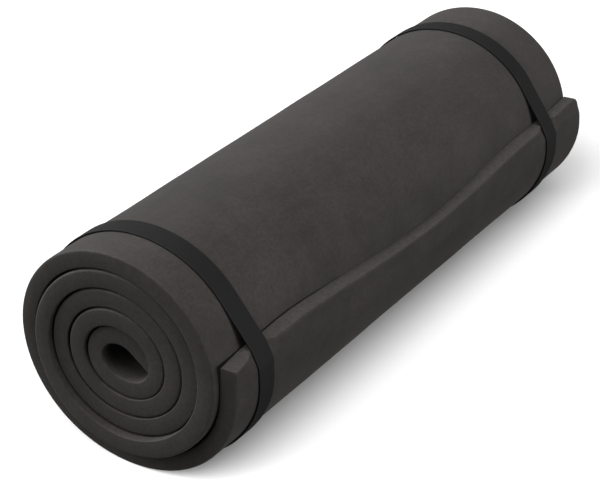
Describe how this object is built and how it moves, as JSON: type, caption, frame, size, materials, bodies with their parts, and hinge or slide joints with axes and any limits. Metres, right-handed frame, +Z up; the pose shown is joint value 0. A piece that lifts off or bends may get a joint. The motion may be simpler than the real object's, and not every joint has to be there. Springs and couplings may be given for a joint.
{
  "type": "exercise mat",
  "caption": "Thick closed-cell foam exercise mat, rolled up with its loose end as a flap and held by two elastic bands that slide off over its ends.",
  "frame": {"origin": "on the surface the roll lies on, under the middle of its box", "axes": "+Y along the roll towards its far end, +X towards the side with the loose flap, +Z up"},
  "size_m": [0.2158, 0.6, 0.1948],
  "materials": {
    "foam": "matte closed-cell foam with a fine grain",
    "webbing": "ribbed woven elastic",
    "thread": "twisted sewing thread"
  },
  "bodies": {
    "roll": {"foam_mat": "foam"},
    "near_band": {"near_band": "webbing", "near_band_stitching": "thread"},
    "far_band": {"far_band": "webbing", "far_band_stitching": "thread"}
  },
  "joints": [
    {"name": "near_band_slide", "type": "slide", "parent": "roll", "child": "near_band", "axis": [0, -1, 0], "range_m": [-0.235, 0.06]},
    {"name": "far_band_slide", "type": "slide", "parent": "roll", "child": "far_band", "axis": [0, 1, 0], "range_m": [-0.21, 0.085]}
  ]
}
